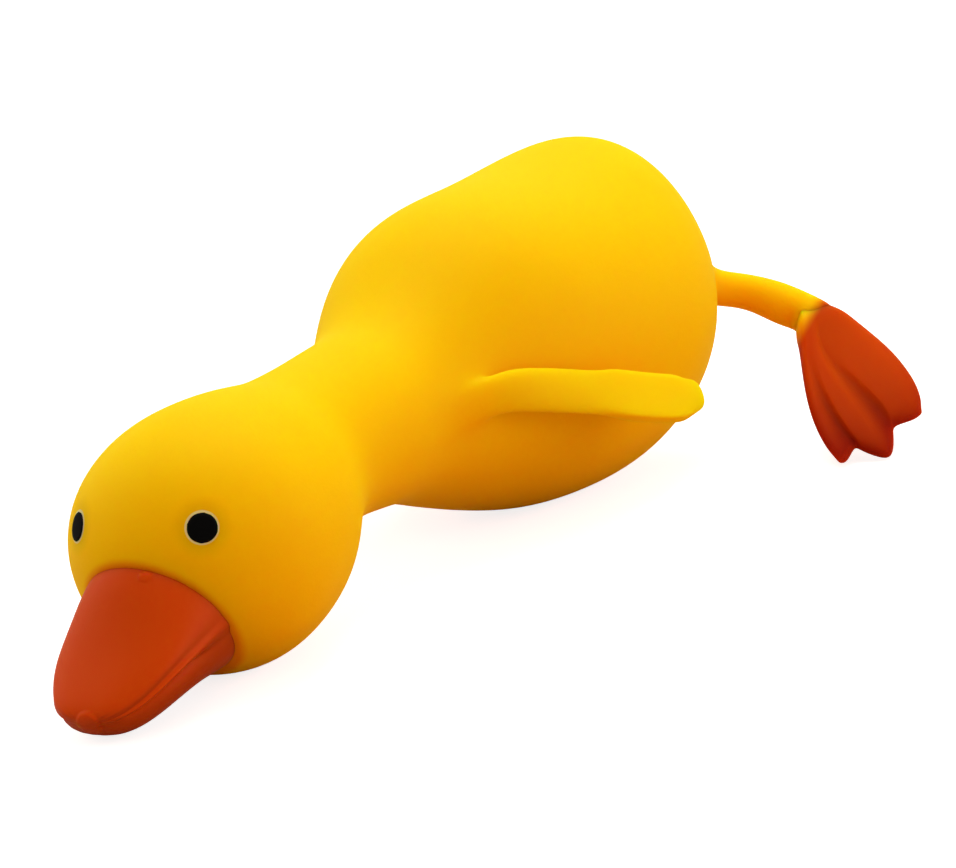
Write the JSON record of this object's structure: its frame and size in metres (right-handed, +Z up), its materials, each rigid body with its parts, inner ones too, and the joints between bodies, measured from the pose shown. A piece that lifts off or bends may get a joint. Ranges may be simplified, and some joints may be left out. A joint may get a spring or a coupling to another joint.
{
  "type": "squishy duck",
  "caption": "Soft rubber toy duck for squeezing, lying on its belly with a long neck, flap wings and trailing webbed feet.",
  "frame": {"origin": "on the table, under the middle of the box around the duck", "axes": "+Z up, -Y the way the beak points, +X the duck's left side"},
  "size_m": [0.0948, 0.1302, 0.0451],
  "materials": {
    "yellow_rubber": "soft, powdery matt, slightly see-through at thin edges",
    "orange_rubber": "soft satin",
    "black_ink": "flat matt print"
  },
  "bodies": {
    "root": {"body": "yellow_rubber", "beak": "orange_rubber", "left_foot": "orange_rubber", "right_foot": "orange_rubber", "left_eye": "black_ink", "right_eye": "black_ink"}
  },
  "joints": []
}
